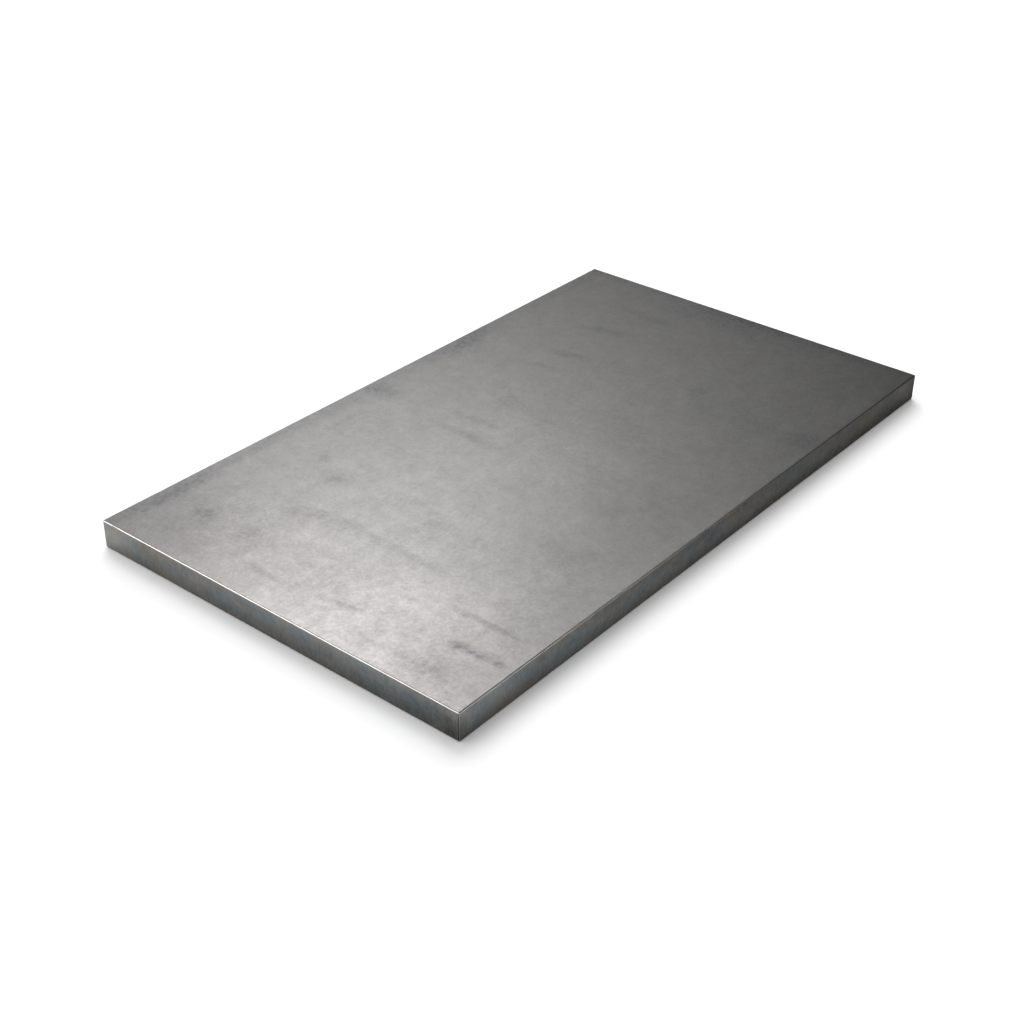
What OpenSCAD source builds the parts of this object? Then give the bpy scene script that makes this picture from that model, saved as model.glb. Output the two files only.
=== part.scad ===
// Steel plate: one flat piece cut to size from rolled plate, with every edge broken.
// X runs along the length, Y across the width and Z up through the thickness.
// The origin is the centre of the underside.

/* [Plate] */
// Length, along X
plate_length = 520; // [100:10:3000]
// Width, along Y
plate_width = 300; // [60:10:1500]
// Thickness, along Z
plate_thickness = 20; // [6:1:60]

/* [Edges] */
// Leg of the 45 degree flat dressed on the eight edges round the two broad faces
face_edge_break = 1; // [0.2:0.1:2]
// Leg of the 45 degree flat dressed on the four upright corner edges
corner_edge_break = 1; // [0.2:0.1:2]

/* [Hidden] */

// Rectangle centred on the origin with its four corners cut off at 45 degrees
module cut_corner_rectangle(size_x, size_y, leg) {
    half_x = size_x / 2;
    half_y = size_y / 2;
    polygon([
        [half_x - leg, -half_y],
        [half_x, -half_y + leg],
        [half_x, half_y - leg],
        [half_x - leg, half_y],
        [-half_x + leg, half_y],
        [-half_x, half_y - leg],
        [-half_x, -half_y + leg],
        [-half_x + leg, -half_y]
    ]);
}

// Outline seen from above, which breaks the upright corner edges
module plan_prism() {
    linear_extrude(height = plate_thickness, center = true)
        cut_corner_rectangle(plate_length, plate_width, corner_edge_break);
}

// Long section, which breaks the edges along the two ends
module side_prism() {
    rotate([90, 0, 0])
        linear_extrude(height = plate_width, center = true)
            cut_corner_rectangle(plate_length, plate_thickness, face_edge_break);
}

// Cross section, which breaks the edges along the two long sides
module end_prism() {
    rotate([90, 0, 90])
        linear_extrude(height = plate_length, center = true)
            cut_corner_rectangle(plate_width, plate_thickness, face_edge_break);
}

// The whole plate, one solid resting on its underside
module plate() {
    color([0.56, 0.56, 0.55])
        translate([0, 0, plate_thickness / 2])
            intersection() {
                plan_prism();
                side_prism();
                end_prism();
            }
}

plate();
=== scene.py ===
"""Looks of the steel plate: a worn, mill-rolled plate lying on a pale floor in a plain studio.

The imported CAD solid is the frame. It gives the plate's length, width, thickness and place, and it is
replaced by one closed mesh with rounded, slightly worn edges and two procedural steel materials.
"""

import math
import random

import bpy
import numpy as np
from mathutils import Matrix, Vector, noise


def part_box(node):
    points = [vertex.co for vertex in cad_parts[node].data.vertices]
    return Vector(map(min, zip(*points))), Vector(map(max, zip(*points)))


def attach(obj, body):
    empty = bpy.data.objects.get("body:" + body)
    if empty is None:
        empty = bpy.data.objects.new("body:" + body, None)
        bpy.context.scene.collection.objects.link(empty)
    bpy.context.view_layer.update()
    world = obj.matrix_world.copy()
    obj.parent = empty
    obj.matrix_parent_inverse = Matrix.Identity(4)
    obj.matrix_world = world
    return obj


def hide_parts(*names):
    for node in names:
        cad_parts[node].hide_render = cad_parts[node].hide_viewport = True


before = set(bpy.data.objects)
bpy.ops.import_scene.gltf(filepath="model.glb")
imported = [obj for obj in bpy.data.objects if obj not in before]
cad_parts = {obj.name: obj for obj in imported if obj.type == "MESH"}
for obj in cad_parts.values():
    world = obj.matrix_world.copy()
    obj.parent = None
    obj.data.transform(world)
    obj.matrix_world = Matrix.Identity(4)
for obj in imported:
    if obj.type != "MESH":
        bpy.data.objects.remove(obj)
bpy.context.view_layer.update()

MM = 0.001

# ---- The plate, in metres, from the frame ----
PLATE_LOW, PLATE_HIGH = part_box("plate")
CENTRE = (PLATE_LOW + PLATE_HIGH) / 2
HALF = (PLATE_HIGH - PLATE_LOW) / 2
TOP = PLATE_HIGH.z

# ---- Edges and surface, in metres ----
EDGE_BREAK = 1.0 * MM      # how far back from the corner each edge is dressed
EDGE_SOFTNESS = 2.2        # 1 is a flat 45 degree break, 2 a full round, more is squarer
EDGE_STEPS = 6             # lattice lines from the flat to the middle of the break
EDGE_SUPPORT = 0.3 * MM    # a lattice line just inside the flat, so that shading stays flat
PITCH = 2.2 * MM           # spacing of the lattice on the flats
WELD_DIGITS = 4            # points that agree to so many decimals of a millimetre are one
UPRIGHT_LEAN = 0.25        # an edge whose normals rise or fall less than this is an upright one
UPRIGHT_BARE = 0.55        # how bare the upright edges are, where a face's edges are 1

EDGE_WEAR = 0.16 * MM      # how far the rounding is worn in, at most, along its ridge
WEAR_SPACING = 9.0 * MM
WEAR_OFFSET = 3            # where the wear is read in the noise
NICK_SEED = 11
NICK_COUNT = 26
NICK_DEPTH = 0.22 * MM
NICK_LENGTH = 3.5 * MM
NICK_SHARES = (0.4, 1.0)   # the smallest and largest nick, as shares of that depth and length
NICKS_ON_TOP = 0.7         # share of the nicks that are on the top face's edges
WAVE_DEPTH = 0.03 * MM     # unevenness left by the rolls
WAVE_SPACING = 110.0 * MM
WAVE_OFFSET = 7            # where it is read in the noise, apart from the wear
WAVE_FADE = 0.9            # a normal's rise below which the unevenness has faded out

# Each side of the box: the axes its lattice runs along, the axis it faces, and which way
SIDES = {
    "top": (0, 1, 2, 1),
    "underside": (1, 0, 2, -1),
    "left": (2, 1, 0, -1),
    "right": (1, 2, 0, 1),
    "front": (0, 2, 1, -1),
    "back": (2, 0, 1, 1),
}
ROLLED_SIDES = ("top", "underside")
EDGE_SIDES = ("front", "back", "left", "right")
BAKE_GAP = 0.006           # between the sides in the map for baking, as a share of its width

# ---- The camera, in metres and degrees ----
CAMERA_AIM = Vector((-0.0840, -0.0423, TOP))
CAMERA_DISTANCE = 1.0533
CAMERA_AZIMUTH = 39.003    # of the line of sight, from +X towards +Y
CAMERA_PITCH = 32.130      # of the line of sight, below the horizon
CAMERA_ROLL = 0.710
CAMERA_LENS = 57.55        # millimetres
CAMERA_SENSOR = 36.0       # millimetres
CAMERA_CLIP = (0.01, 100.0)


# ---------------------------------------------------------------- mesh

def axis_stations(half):
    """Lattice coordinates along one axis: fine round the two edges and evenly spaced between them."""
    flat = half - EDGE_BREAK
    turns = np.linspace(0, math.pi / 4, EDGE_STEPS + 1)
    outer = flat + EDGE_BREAK * np.tan(turns)
    support = flat - EDGE_SUPPORT
    even = np.linspace(-support, support, round(2 * support / PITCH) + 1)
    return np.concatenate([-outer[::-1], even, outer])


def side_lattice(name, stations):
    """Points on one side of the box as a grid, and the quads between them, facing outwards."""
    across, along, facing, sign = SIDES[name]
    u, v = np.meshgrid(stations[across], stations[along], indexing="ij")
    points = np.empty(u.shape + (3,))
    points[..., across] = u
    points[..., along] = v
    points[..., facing] = sign * HALF[facing]
    index = np.arange(u.size).reshape(u.shape)
    quads = np.stack([index[:-1, :-1], index[1:, :-1], index[1:, 1:], index[:-1, 1:]], axis=-1)
    return points.reshape(-1, 3), quads.reshape(-1, 4)


def bake_layout(name, points):
    """Where the points of one side lie in the unit square.

    The top is at full width, the four edges are strips above it, and the underside has the rest.
    """
    half = np.array(HALF)
    unit = (points + half) / (2 * half)
    top_height = HALF.y / HALF.x
    strip = HALF.z / HALF.x
    strips_start = top_height + BAKE_GAP
    under_start = strips_start + len(EDGE_SIDES) * (strip + BAKE_GAP)
    if name == "top":
        return unit[:, 0], unit[:, 1] * top_height
    if name == "underside":
        return unit[:, 0], under_start + unit[:, 1] * (1 - under_start)
    run = unit[:, 0] if name in ("front", "back") else unit[:, 1] * top_height
    return run, strips_start + EDGE_SIDES.index(name) * (strip + BAKE_GAP) + unit[:, 2] * strip


def rounded(points):
    """Where points on the box come to lie on the rounded plate, with their outward directions."""
    half = np.array(HALF)
    core = np.clip(points, EDGE_BREAK - half, half - EDGE_BREAK)
    out = points - core
    normals = out / np.linalg.norm(out, axis=1)[:, None]
    return core + EDGE_BREAK * out / np.linalg.norm(out, ord=EDGE_SOFTNESS, axis=1)[:, None], normals


def ridge_weight(normals):
    """0 on the flats, 1 along the middle of each rounding."""
    middle = 1 - 1 / math.sqrt(2)
    return np.clip((1 - np.abs(normals).max(axis=1)) / middle, 0, 1)


def edge_finish(normals, ridge):
    """How bare each edge is worn, and how much dark skin it keeps.

    Upright corner edges keep skin on the half that turns to the plate's end, and are only partly
    bare on the other half.
    """
    across, along, up = np.abs(normals).T
    stands = up < UPRIGHT_LEAN
    skinned = stands & (across > along)
    bare = np.where(skinned, 0, np.where(stands, UPRIGHT_BARE, 1)) * ridge
    skin = skinned * np.sqrt(ridge)
    return bare, skin


def smooth_noise(points, spacing, offset):
    """Noise from 0 to 1 at each point, with features about one spacing across."""
    shift = Vector((offset, 0, 0))
    return np.array([0.5 + 0.5 * noise.noise(Vector(p) / spacing + shift) for p in points])


def nick_places():
    """Seeded places along the long and short edges of the two rolled faces."""
    draw = random.Random(NICK_SEED)
    places = []
    for _ in range(NICK_COUNT):
        level = HALF.z if draw.random() < NICKS_ON_TOP else -HALF.z
        if draw.random() < HALF.x / (HALF.x + HALF.y):
            place = (draw.uniform(-HALF.x, HALF.x), math.copysign(HALF.y, draw.random() - 0.5), level)
        else:
            place = (math.copysign(HALF.x, draw.random() - 0.5), draw.uniform(-HALF.y, HALF.y), level)
        places.append((place, draw.uniform(*NICK_SHARES)))
    return places


def wear_depth(points, ridge):
    """How far each point is worn inwards: unevenly along the ridges, deeper at the nicks."""
    depth = np.zeros(len(points))
    worn = ridge > 0
    at = points[worn]
    depth[worn] = EDGE_WEAR * smooth_noise(at, WEAR_SPACING, WEAR_OFFSET)
    for place, share in nick_places():
        away = np.linalg.norm(at - np.array(place), axis=1) / (NICK_LENGTH * share)
        depth[worn] += NICK_DEPTH * share * np.exp(-away**2)
    return depth * ridge


def roll_wave(points, normals):
    """The slight hollows of the two rolled faces, always inwards so that the size holds."""
    flat = np.clip((np.abs(normals[:, 2]) - WAVE_FADE) / (1 - WAVE_FADE), 0, 1)
    depth = np.zeros(len(points))
    rolled = flat > 0
    depth[rolled] = WAVE_DEPTH * smooth_noise(points[rolled], WAVE_SPACING, WAVE_OFFSET)
    return depth * flat


def build_plate():
    """The plate as one closed mesh, with its edges marked and a map for baking."""
    stations = [axis_stations(h) for h in HALF]
    points, quads, maps, kinds = [], [], [], []
    start = 0
    for name in SIDES:
        side_points, side_quads = side_lattice(name, stations)
        points.append(side_points)
        quads.append(side_quads + start)
        maps.append(np.stack(bake_layout(name, side_points), axis=1))
        kinds.append(np.full(len(side_quads), 0 if name in ROLLED_SIDES else 1))
        start += len(side_points)
    points = np.concatenate(points)
    quads = np.concatenate(quads)
    maps = np.concatenate(maps)

    snapped = np.round(points / MM, WELD_DIGITS)
    _, first, welded = np.unique(snapped, axis=0, return_index=True, return_inverse=True)
    place, normals = rounded(points[first])
    ridge = ridge_weight(normals)
    inwards = wear_depth(place, ridge) + roll_wave(place, normals)
    place = place - inwards[:, None] * normals + np.array(CENTRE)

    mesh = bpy.data.meshes.new("steel_plate")
    mesh.from_pydata(place.tolist(), [], welded.reshape(-1)[quads].tolist())
    mesh.polygons.foreach_set("material_index", np.concatenate(kinds).astype(np.int32))
    mesh.polygons.foreach_set("use_smooth", np.ones(len(quads), dtype=bool))
    mesh.uv_layers.new(name="OFBake").uv.foreach_set("vector", maps[quads].astype(np.float32).ravel())
    bare, skin = edge_finish(normals, ridge)
    for label, share in (("bare", bare), ("skin", skin)):
        mesh.attributes.new(label, "FLOAT", "POINT").data.foreach_set("value", share.astype(np.float32))
    mesh.update()
    mesh.validate()
    plate = bpy.data.objects.new("steel_plate", mesh)
    bpy.context.scene.collection.objects.link(plate)
    return plate


# ---------------------------------------------------------------- node helpers

class Graph:
    """A node tree with short calls. Values are numbers, tuples or the outputs of other nodes."""

    def __init__(self, owner):
        owner.use_nodes = True
        self.tree = owner.node_tree
        self.tree.nodes.clear()

    def node(self, kind, inputs=(), **settings):
        made = self.tree.nodes.new(kind)
        for name, value in settings.items():
            setattr(made, name, value)
        for socket, value in dict(inputs).items():
            self.feed(made.inputs[socket], value)
        return made

    def feed(self, socket, value):
        if isinstance(value, bpy.types.NodeSocket):
            self.tree.links.new(value, socket)
        else:
            socket.default_value = value

    def math(self, operation, *values, clamp=False):
        made = self.node("ShaderNodeMath", enumerate(values), operation=operation, use_clamp=clamp)
        return made.outputs[0]

    def total(self, values):
        sum_so_far = values[0]
        for value in values[1:]:
            sum_so_far = self.math("ADD", sum_so_far, value)
        return sum_so_far

    def vector(self, operation, *values, **inputs):
        made = self.node("ShaderNodeVectorMath", enumerate(values), operation=operation)
        for socket, value in inputs.items():
            self.feed(made.inputs[socket], value)
        return made.outputs["Value" if operation in ("DOT_PRODUCT", "LENGTH") else "Vector"]

    def noise(self, where, spacing, detail=2.0, roughness=0.5):
        """Noise about 0.5, with its largest features one spacing across, which may differ by axis."""
        spacings = spacing if isinstance(spacing, tuple) else (spacing,) * 3
        scaled = self.vector("DIVIDE", where, spacings)
        inputs = {"Vector": scaled, "Scale": 1.0, "Detail": detail, "Roughness": roughness}
        return self.node("ShaderNodeTexNoise", inputs).outputs[0]

    def swing(self, value, amount):
        """A 0 to 1 value turned into a swing about zero, of that amount at its ends."""
        return self.math("MULTIPLY_ADD", value, 2 * amount, -amount)

    def step(self, value, low, high, at_low=0.0, at_high=1.0):
        """A smooth change from at_low to at_high as value goes from low to high."""
        inputs = {"Value": value, "From Min": low, "From Max": high, "To Min": at_low, "To Max": at_high}
        return self.node("ShaderNodeMapRange", inputs, interpolation_type="SMOOTHSTEP").outputs["Result"]

    def blend(self, share, first, second):
        """The colour first where share is 0, second where it is 1."""
        made = self.node("ShaderNodeMix", data_type="RGBA")
        self.feed(made.inputs["Factor"], share)
        for label, value in (("A", first), ("B", second)):
            socket = next(s for s in made.inputs if s.name == label and s.type == "RGBA")
            self.feed(socket, value if isinstance(value, bpy.types.NodeSocket) else (*value, 1.0))
        return next(s for s in made.outputs if s.type == "RGBA")

    def mix_value(self, share, first, second):
        """The value first where share is 0, second where it is 1."""
        change = self.math("SUBTRACT", second, first)
        return self.math("MULTIPLY_ADD", change, share, first)

    def shade(self, colour, tone):
        return self.vector("SCALE", colour, Scale=tone)

    def millimetres(self):
        """The point on the plate, in millimetres from the plate's origin."""
        place = self.node("ShaderNodeTexCoord").outputs["Object"]
        return self.vector("SCALE", place, Scale=1 / MM)

    def axes(self, where):
        return self.node("ShaderNodeSeparateXYZ", {"Vector": where}).outputs

    def bump(self, height, distance):
        """Relief of that depth in metres where height goes from 0 to 1."""
        inputs = {"Strength": 1.0, "Distance": distance, "Height": height}
        return self.node("ShaderNodeBump", inputs).outputs["Normal"]


def new_material(name):
    material = bpy.data.materials.new(name)
    return material, Graph(material)


def steel_shader(graph, colour, roughness, normal):
    """The one metal shader that both materials end in."""
    shader = graph.node("ShaderNodeBsdfPrincipled", {"Metallic": 1.0})
    graph.feed(shader.inputs["Base Color"], colour)
    graph.feed(shader.inputs["Roughness"], roughness)
    graph.feed(shader.inputs["Normal"], normal)
    graph.node("ShaderNodeOutputMaterial", {"Surface": shader.outputs["BSDF"]})


# ---------------------------------------------------------------- materials

ROLLED_WARM = (0.573, 0.549, 0.540)
ROLLED_COOL = (0.550, 0.545, 0.535)
ROLLED_OILED = (0.556, 0.546, 0.552)
CUT_BLUE = (0.226, 0.262, 0.283)
CUT_BROWN = (0.300, 0.270, 0.232)
BARE_METAL = (0.74, 0.72, 0.70)

ROLLED_ROUGHNESS = 0.43
CUT_ROUGHNESS = 0.42
RIDGE_ROUGHNESS = 0.26
MARK_DULLING = 0.25        # how much rougher the darker marks are
ROLLED_GLOSS_SWING = 0.2   # how much smoother the paler clouds of a rolled face are
CUT_GLOSS_SWING = 0.25     # and those of a cut side
ROLLED_RELIEF = 0.002 * MM
CUT_RELIEF = 0.01 * MM

# What gives drawn shapes their natural outlines: spacing of the noise and how far it pushes, in
# millimetres
WANDER = (14.0, 3.5)       # for marks and patches
MARGIN_WANDER = (22.0, 5.0)
TINT_WANDER = (60.0, 60.0)
SIDE_WANDER = (12.0, 2.0)

# Unevenness of tone, from broad clouds to grain: spacing in millimetres (one figure, or x, y, z),
# detail, roughness of the noise, and how far the tone swings
ROLLED_CLOUDS = (
    (45.0, 7.0, 0.82, 0.11),
    (18.0, 4.0, 0.85, 0.16),
    (6.0, 3.0, 0.90, 0.15),
    (2.2, 2.0, 0.90, 0.17),
    ((6.0, 90.0, 50.0), 3.0, 0.50, 0.035),
)
CUT_CLOUDS = (
    ((16.0, 16.0, 9.0), 6.0, 0.80, 0.50),
    ((5.0, 5.0, 7.0), 3.0, 0.80, 0.22),
    ((1.6, 1.6, 5.0), 3.0, 0.70, 0.36),
)

# Grain of the relief: spacing, detail and roughness
ROLLED_GRAIN = ((2.4, 4.0, 0.6), ((3.0, 30.0, 30.0), 2.0, 0.5))
CUT_GRAIN = (((1.2, 1.2, 9.0), 3.0, 0.5), (5.0, 3.0, 0.5))

# Noise that breaks up the dark marks: spacing, detail and roughness, its range, and how strong a
# mark is at the two ends of that range
MARK_BREAKS = (4.0, 3.0, 0.7)
MARK_BREAK_RANGE = (0.32, 0.68)
MARK_STRENGTHS = (0.65, 1.7)

# Noise that decides where the cut sides are brown: spacing, detail, roughness, and its range
BROWN_PATCHES = ((26.0, 26.0, 10.0), 4.0, 0.7)
BROWN_RANGE = (0.38, 0.62)

# Noise that roughens the outline of the bare edges: spacing in millimetres, detail, and its swing
EDGE_RAGGED = (5.0, 3.0, 0.35)
EDGE_MARKED = (0.25, 0.60)  # the range of the marks over which the outline runs

# Oil and handling marks on the top face: centre x, y and half sizes x, y in millimetres, lean in
# degrees (positive leans the lower end towards +x), and how much darker the middle is
MARKS = (
    (169, 72, 9, 30, 14, 0.19),
    (117, 68, 8, 24, 14, 0.13),
    (90, 70, 7, 22, 10, 0.11),
    (-28, 40, 8, 52, 0, 0.11),
    (-6, 55, 7, 32, 2, 0.10),
    (-164, 0, 8, 110, 0, 0.07),
    (-171, 60, 15, 28, 0, 0.07),
    (-127, 72, 17, 20, 10, 0.13),
    (-112, 98, 9, 6, -30, 0.09),
    (-212, 108, 9, 15, 10, 0.09),
    (-224, 55, 18, 10, 0, 0.07),
    (-234, 33, 5, 40, 0, 0.06),
    (-228, -30, 4, 24, 10, 0.08),
    (-215, -110, 6, 10, 4, 0.14),
    (-214, -123, 5, 10, 0, 0.13),
    (-213, -139, 4, 8, 0, 0.11),
    (-214, -120, 8, 34, 0, 0.05),
    (-188, -107, 5, 40, 3, 0.10),
    (-239, -113, 20, 32, 0, 0.06),
    (-100, -100, 26, 28, 20, 0.06),
    (-95, -17, 4, 4, 0, 0.08),
    (-17, 135, 16, 24, 0, 0.15),
    (-66, 125, 20, 5, 0, 0.07),
    (30, 55, 20, 12, 0, 0.06),
    (57, 12, 3, 34, 0, 0.04),
    (-41, -90, 14, 14, 0, 0.07),
    (50, -33, 40, 24, 0, 0.04),
    (211, 60, 9, 60, 0, 0.08),
    (130, -45, 30, 14, 0, 0.06),
    (240, 30, 16, 90, 0, 0.08),
    (110, -100, 30, 15, 0, 0.06),
    (-225, 112, 70, 56, 0, 0.07),
    (85, 140, 60, 22, 0, 0.17),
    (262, -20, 44, 130, 0, 0.15),
    (120, -80, 40, 80, 0, 0.04),
    (120, -140, 24, 24, 0, 0.13),
    (-212, 70, 16, 16, 0, 0.08),
    (-200, 140, 60, 14, 0, 0.10),
    (-130, -10, 22, 26, 0, 0.06),
)

OIL_TINTING = 6.0          # how soon a darker mark also takes on the tint of old oil
MARK_DEPTH = 5.0           # how far down the patches of the top face fade out, in millimetres
WARM_REACH = 160.0         # how far in from the left end the warmer tint fades, in millimetres

# Darker margins of the rolled faces: where each starts and is full, in millimetres in from its edge,
# and how much darker it is
BACK_MARGIN = (17, 7, 0.08)
RIGHT_MARGIN = (16, 0, 0.14)

# Paler patches of the top face, written as the marks are, with how much lighter the middle is
PALE_PATCHES = (
    (-262, -20, 50, 120, 0, 0.15),
    (-190, 30, 40, 22, 0, 0.03),
    (190, -140, 50, 16, 0, 0.09),
    (-60, -145, 150, 16, 0, 0.09),
    (-198, -70, 46, 74, 0, 0.09),
    (-25, -5, 80, 100, 0, 0.08),
    (217, 110, 14, 20, 0, 0.04),
    (227, 78, 10, 14, 0, 0.04),
)

# Painted light and shade on the cut sides, partly the oxide's own patchiness: paler stretches towards
# the back of the left end, where the left light falls, and darker ones towards its front corner and
# along the front side towards the right end. Centre and half sizes in millimetres, and how much lighter
# the middle is, or darker where that is below zero
SIDE_LIGHT_AND_SHADE = (
    ((-260, 150, 8), (16, 50, 30), 0.52),
    ((-260, 75, 12), (16, 190, 24), 0.22),
    ((-260, -70, 20), (14, 120, 9), 0.40),
    ((-260, -150, 8), (10, 60, 14), -0.24),
    ((-262, -148, 10), (6, 18, 24), -0.32),
    ((-245, -150, 16), (60, 12, 18), 0.40),
    ((-150, -150, 3), (180, 12, 10), 0.14),
    ((10, -150, 20), (250, 12, 13), -0.46),
    ((262, -150, 8), (16, 14, 26), -0.55),
)
SKIN_DARKENING = 0.90      # of the skin left on the upright corner edges

# What turns the cut sides brown, as shares: patches, then bands. Each band has where it starts and
# ends in millimetres, and its shares there. Heights count from the underside, and lengths and widths
# from the plate's middle.
PATCH_BROWN = 0.6
RIM_BROWN = (TOP / MM - 6, TOP / MM - 1, 0.0, 0.25)
BASE_BROWN = (1.0, 6.0, 0.4, 0.0)
RIGHT_BROWN = (-HALF.x / MM + 100, HALF.x / MM, 0.0, 0.38)
BACK_BROWN = (-20.0, 110.0, 0.0, 0.2)

# Painted light and shade on the cut sides by height, paler or, below zero, darker, written the same way:
# darkest near the floor, which the sides reflect in the plate's contact shadow, and palest near the top
SIDE_HEIGHT_SHADING = (0.0, TOP / MM, -0.10, 0.18)
BASE_SHADE = (0.0, 2.5, -0.08, 0.0)


def soft_patch(graph, where, centre, half_sizes, strength, lean=0.0):
    """One soft patch. Its outline is natural where the coordinates are uneven."""
    inputs = {
        "Vector": where,
        "Location": centre,
        "Rotation": (0, 0, math.radians(lean)),
        "Scale": half_sizes,
    }
    local = graph.node("ShaderNodeMapping", inputs, vector_type="TEXTURE").outputs["Vector"]
    away = graph.vector("LENGTH", local)
    return graph.step(away, 0.0, 1.0, strength, 0.0)


def top_patches(graph, where, marks):
    """All the patches of one table of the top face together. They don't reach the underside."""
    patches = []
    for x, y, half_x, half_y, lean, strength in marks:
        half_sizes = (half_x, half_y, MARK_DEPTH)
        patches.append(soft_patch(graph, where, (x, y, TOP / MM), half_sizes, strength, lean))
    return graph.total(patches)


def layer(graph, where, spacing, detail, roughness, amount):
    """One row of a table of clouds."""
    return graph.swing(graph.noise(where, spacing, detail, roughness), amount)


def uneven(graph, where, spacing, amount):
    """The coordinates pushed about by noise, for what is drawn in them to have a natural outline."""
    scaled = graph.vector("DIVIDE", where, (spacing,) * 3)
    pattern = graph.node("ShaderNodeTexNoise", {"Vector": scaled, "Scale": 1.0, "Detail": 3.0})
    centred = graph.vector("SUBTRACT", pattern.outputs["Color"], (0.5, 0.5, 0.5))
    return graph.vector("ADD", where, graph.vector("SCALE", centred, Scale=2 * amount))


def edge_margin(graph, place, half_size, margin):
    """One darker margin along the edge that lies at half_size, in metres, along that axis."""
    start, full, strength = margin
    return graph.step(place, half_size / MM - start, half_size / MM - full, 0.0, strength)


def edge_margins(graph, where):
    """The darker margins that the rolled faces keep along their back and right edges."""
    x, y, _ = graph.axes(uneven(graph, where, *MARGIN_WANDER))
    back = edge_margin(graph, y, HALF.y, BACK_MARGIN)
    right = edge_margin(graph, x, HALF.x, RIGHT_MARGIN)
    return graph.math("ADD", back, right)


def edge_share(graph, where, label):
    """1 along the edges marked with that label and 0 on the flats, with an uneven outline."""
    marked = graph.node("ShaderNodeAttribute", attribute_name=label).outputs["Fac"]
    spacing, detail, amount = EDGE_RAGGED
    ragged = graph.math("ADD", marked, graph.swing(graph.noise(where, spacing, detail), amount))
    return graph.step(ragged, *EDGE_MARKED)


def rolled_face():
    """Mill-rolled face: satin grey, clouded, with cross streaks, oil marks and darker margins."""
    material, graph = new_material("rolled_steel")
    where = graph.millimetres()
    wandering = uneven(graph, where, *WANDER)
    clouds = graph.total([layer(graph, where, *row) for row in ROLLED_CLOUDS])
    dark = graph.math("ADD", top_patches(graph, wandering, MARKS), edge_margins(graph, where))
    broken = graph.step(graph.noise(where, *MARK_BREAKS), *MARK_BREAK_RANGE, *MARK_STRENGTHS)
    mottled = graph.math("MULTIPLY", dark, broken)
    pale = top_patches(graph, wandering, PALE_PATCHES)
    tone = graph.math("SUBTRACT", graph.total([1.0, clouds, pale]), mottled)
    x, _, _ = graph.axes(uneven(graph, where, *TINT_WANDER))
    tint = graph.step(x, -HALF.x / MM, -HALF.x / MM + WARM_REACH, 1.0, 0.0)
    ridge = edge_share(graph, where, "bare")
    oiled = graph.math("MULTIPLY", mottled, OIL_TINTING, clamp=True)
    steel = graph.blend(oiled, graph.blend(tint, ROLLED_COOL, ROLLED_WARM), ROLLED_OILED)
    colour = graph.blend(ridge, graph.shade(steel, tone), BARE_METAL)

    duller = graph.math("MULTIPLY", mottled, MARK_DULLING)
    smoother = graph.math("MULTIPLY", clouds, ROLLED_GLOSS_SWING)
    satin = graph.math("ADD", graph.math("SUBTRACT", duller, smoother), ROLLED_ROUGHNESS)
    roughness = graph.mix_value(ridge, satin, RIDGE_ROUGHNESS)
    relief = graph.total([graph.noise(where, *row) for row in ROLLED_GRAIN])
    steel_shader(graph, colour, roughness, graph.bump(relief, ROLLED_RELIEF))
    return material


def cut_side():
    """Cut edge of the plate: darker oxide in blue-grey and brown patches, with painted shade that makes
    it darkest at the floor, and painted light and shade by height and in stretches along it.
    """
    material, graph = new_material("cut_steel")
    where = graph.millimetres()
    x, y, z = graph.axes(uneven(graph, where, *SIDE_WANDER))
    patches = graph.step(graph.noise(where, *BROWN_PATCHES), *BROWN_RANGE)
    bands = ((z, RIM_BROWN), (z, BASE_BROWN), (x, RIGHT_BROWN), (y, BACK_BROWN))
    tints = [graph.math("MULTIPLY", patches, PATCH_BROWN)]
    tints += [graph.step(place, *band) for place, band in bands]
    brown = graph.math("ADD", graph.total(tints), 0.0, clamp=True)
    oxide = graph.blend(brown, CUT_BLUE, CUT_BROWN)

    clouds = graph.total([layer(graph, where, *row) for row in CUT_CLOUDS])
    wandering = uneven(graph, where, *WANDER)
    # painted shade low on the sides and painted light high on them
    painted_height_shading = graph.step(z, *SIDE_HEIGHT_SHADING)
    shaded = graph.step(z, *BASE_SHADE)
    # painted light and shade in stretches along the sides, partly the oxide's own patchiness
    pale = graph.total([soft_patch(graph, wandering, *patch) for patch in SIDE_LIGHT_AND_SHADE])
    skin = graph.math("MULTIPLY", edge_share(graph, where, "skin"), -SKIN_DARKENING)
    tone = graph.total([1.0, clouds, painted_height_shading, shaded, pale, skin])
    ridge = edge_share(graph, where, "bare")
    colour = graph.blend(ridge, graph.shade(oxide, tone), BARE_METAL)

    satin = graph.math("SUBTRACT", CUT_ROUGHNESS, graph.math("MULTIPLY", clouds, CUT_GLOSS_SWING))
    roughness = graph.mix_value(ridge, satin, RIDGE_ROUGHNESS)
    relief = graph.total([graph.noise(where, *row) for row in CUT_GRAIN])
    steel_shader(graph, colour, roughness, graph.bump(relief, CUT_RELIEF))
    return material


# ---------------------------------------------------------------- studio

FLOOR_SPAN = 30.0          # metres
FLOOR_DROP = 0.1 * MM      # the floor lies this far under the plate, so that the two never fight
FLOOR_SEEN = 0.95          # how pale the floor is to the camera
FLOOR_NEAR = 0.46          # how pale it is in the plate's reflections, to the front left of the plate
FLOOR_FAR = 0.16           # and how pale it is there to the right, where the lit sweep ends
FLOOR_FADE = 0.15          # metres past the plate's right end at which that is reached
WHITE = (1, 1, 1, 1)

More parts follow.
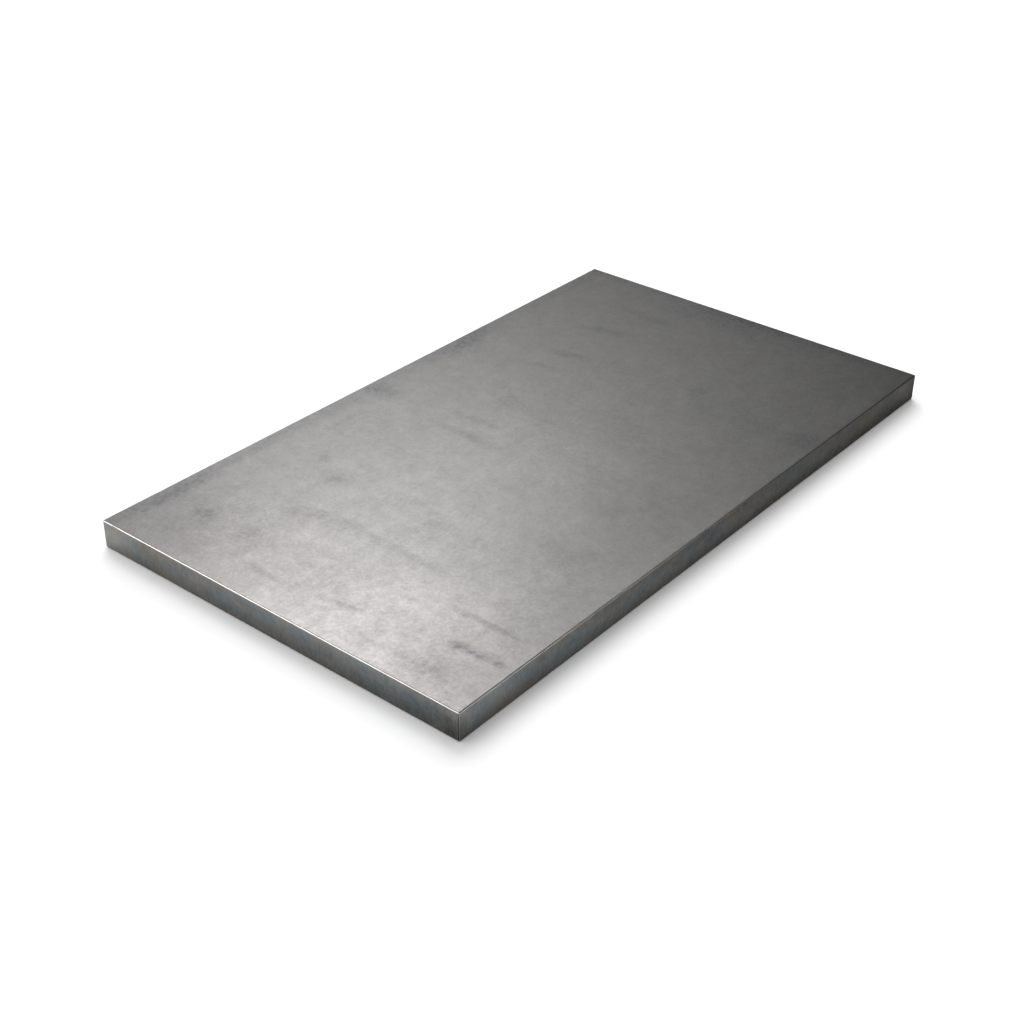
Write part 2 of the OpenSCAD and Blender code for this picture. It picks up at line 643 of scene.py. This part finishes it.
# The room that the plate reflects: where its brighter side is, and its radiance away from that side
# and towards it
ROOM_BRIGHT_AZIMUTH = 219.0
ROOM_BRIGHT_ELEVATION = 35.0
ROOM_DIM = 0.004
ROOM_BRIGHT = 0.45
ROOM_FADE = (0.25, 0.95)   # cosines of the angle from the brighter side, where it starts and is full

SOFTBOX_DISTANCE = 1.6     # metres from the middle of the top face
WATTS_PER_RADIANCE = math.pi   # what an area light takes for each unit of radiance and square metre

# Rectangular lights that the plate reflects: name, azimuth and elevation in degrees, width and
# height in metres, radiance
SOFTBOXES = (
    ("key_softbox", 54.7, 45.7, 0.51, 0.15, 13.5),
    ("low_softbox", 31.7, 34.8, 0.72, 0.15, 1.43),
    ("left_softbox", 139.9, 20.0, 1.10, 1.05, 2.0),
    ("right_softbox", -56.0, 20.0, 0.70, 1.00, 0.27),
    ("edge_softbox", -64.0, 9.0, 0.50, 0.48, 2.2),
)

# Broad lights for the floor: name, azimuth, elevation and spread in degrees, strength
FLOOR_WASHES = (
    ("floor_dome", 117.3, 78.1, 80.6, 2.46),
    ("floor_sun", 43.5, 36.6, 50.4, 2.08),
)


def towards(azimuth, elevation):
    """Unit direction from azimuth, counted from +X towards +Y, and elevation, both in degrees."""
    a, e = math.radians(azimuth), math.radians(elevation)
    return Vector((math.cos(a) * math.cos(e), math.sin(a) * math.cos(e), math.sin(e)))


def hang(name, light, azimuth, elevation, distance):
    """A light that looks at the middle of the top face from that direction."""
    lamp = bpy.data.objects.new(name, light)
    bpy.context.scene.collection.objects.link(lamp)
    direction = towards(azimuth, elevation)
    lamp.location = Vector((0, 0, TOP)) + distance * direction
    lamp.rotation_mode = "QUATERNION"
    lamp.rotation_quaternion = (-direction).to_track_quat("-Z", "Y")
    return lamp


def softbox(name, azimuth, elevation, width, height, radiance, lit):
    """A rectangular light that the plate reflects. Its height leans back with its elevation."""
    light = bpy.data.lights.new(name, "AREA")
    light.shape = "RECTANGLE"
    light.size = width
    light.size_y = height
    light.energy = WATTS_PER_RADIANCE * radiance * width * height
    hang(name, light, azimuth, elevation, SOFTBOX_DISTANCE).light_linking.receiver_collection = lit


def floor_wash(name, azimuth, elevation, spread, strength, lit):
    """A broad, even light for the floor, which keeps it white and gives the contact shadow."""
    light = bpy.data.lights.new(name, "SUN")
    light.angle = math.radians(spread)
    light.energy = strength
    hang(name, light, azimuth, elevation, SOFTBOX_DISTANCE).light_linking.receiver_collection = lit


def floor_material():
    """White to the camera, and darker in the plate's reflections, more so to the right."""
    material, graph = new_material("pale_floor")
    x, _, _ = graph.axes(graph.node("ShaderNodeTexCoord").outputs["Object"])
    rightwards = graph.step(x, PLATE_LOW.x, PLATE_HIGH.x + FLOOR_FADE)
    mirrored = graph.blend(rightwards, (FLOOR_NEAR,) * 3, (FLOOR_FAR,) * 3)
    seen = graph.node("ShaderNodeLightPath").outputs["Is Camera Ray"]
    colour = graph.blend(seen, mirrored, (FLOOR_SEEN,) * 3)
    diffuse = graph.node("ShaderNodeBsdfDiffuse", {"Color": colour})
    graph.node("ShaderNodeOutputMaterial", {"Surface": diffuse.outputs["BSDF"]})
    return material


def build_floor():
    reach = FLOOR_SPAN / 2
    level = PLATE_LOW.z - FLOOR_DROP
    turns = ((-1, -1), (1, -1), (1, 1), (-1, 1))
    corners = [(reach * across, reach * along, level) for across, along in turns]
    mesh = bpy.data.meshes.new("floor")
    mesh.from_pydata(corners, [], [(0, 1, 2, 3)])
    mesh.materials.append(floor_material())
    floor = bpy.data.objects.new("floor", mesh)
    bpy.context.scene.collection.objects.link(floor)
    return floor


def build_world():
    """White behind what the camera sees, and a dim room with a brighter side for the reflections."""
    world = bpy.data.worlds.new("studio")
    graph = Graph(world)
    direction = graph.node("ShaderNodeTexCoord").outputs["Generated"]
    bright_side = tuple(towards(ROOM_BRIGHT_AZIMUTH, ROOM_BRIGHT_ELEVATION))
    facing = graph.vector("DOT_PRODUCT", direction, bright_side)
    glow = graph.step(facing, *ROOM_FADE, ROOM_DIM, ROOM_BRIGHT)
    room = graph.node("ShaderNodeBackground", {"Color": WHITE, "Strength": glow}).outputs[0]
    white = graph.node("ShaderNodeBackground", {"Color": WHITE, "Strength": 1.0}).outputs[0]
    ray = graph.node("ShaderNodeLightPath").outputs
    mirrored = graph.node("ShaderNodeMixShader", {0: ray["Is Glossy Ray"], 2: room}).outputs[0]
    seen = graph.node("ShaderNodeMixShader", {0: ray["Is Camera Ray"], 1: mirrored, 2: white})
    graph.node("ShaderNodeOutputWorld", {"Surface": seen.outputs[0]})
    bpy.context.scene.world = world


def only(name, thing):
    """A collection that holds one object, for the lights that shine on nothing else."""
    collection = bpy.data.collections.new(name)
    collection.objects.link(thing)
    return collection


def build_lights(plate, floor):
    """The softboxes light only the plate, and the washes only the floor."""
    on_plate = only("lit_plate", plate)
    on_floor = only("lit_floor", floor)
    for row in SOFTBOXES:
        softbox(*row, on_plate)
    for row in FLOOR_WASHES:
        floor_wash(*row, on_floor)


def build_camera():
    camera = bpy.data.objects.new("camera", bpy.data.cameras.new("camera"))
    bpy.context.scene.collection.objects.link(camera)
    camera.data.lens = CAMERA_LENS
    camera.data.sensor_width = CAMERA_SENSOR
    camera.data.clip_start, camera.data.clip_end = CAMERA_CLIP
    sight = towards(CAMERA_AZIMUTH, -CAMERA_PITCH)
    camera.location = CAMERA_AIM - CAMERA_DISTANCE * sight
    camera.rotation_mode = "QUATERNION"
    level = sight.to_track_quat("-Z", "Y").to_matrix()
    roll = Matrix.Rotation(math.radians(CAMERA_ROLL), 3, "Z")
    camera.rotation_quaternion = (level @ roll).to_quaternion()
    bpy.context.scene.camera = camera


# ---------------------------------------------------------------- assembly

bpy.context.scene.view_settings.view_transform = "Standard"
build_camera()

plate = build_plate()
plate.data.materials.append(rolled_face())
plate.data.materials.append(cut_side())
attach(plate, "root")
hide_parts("plate")

floor = build_floor()
build_world()
build_lights(plate, floor)
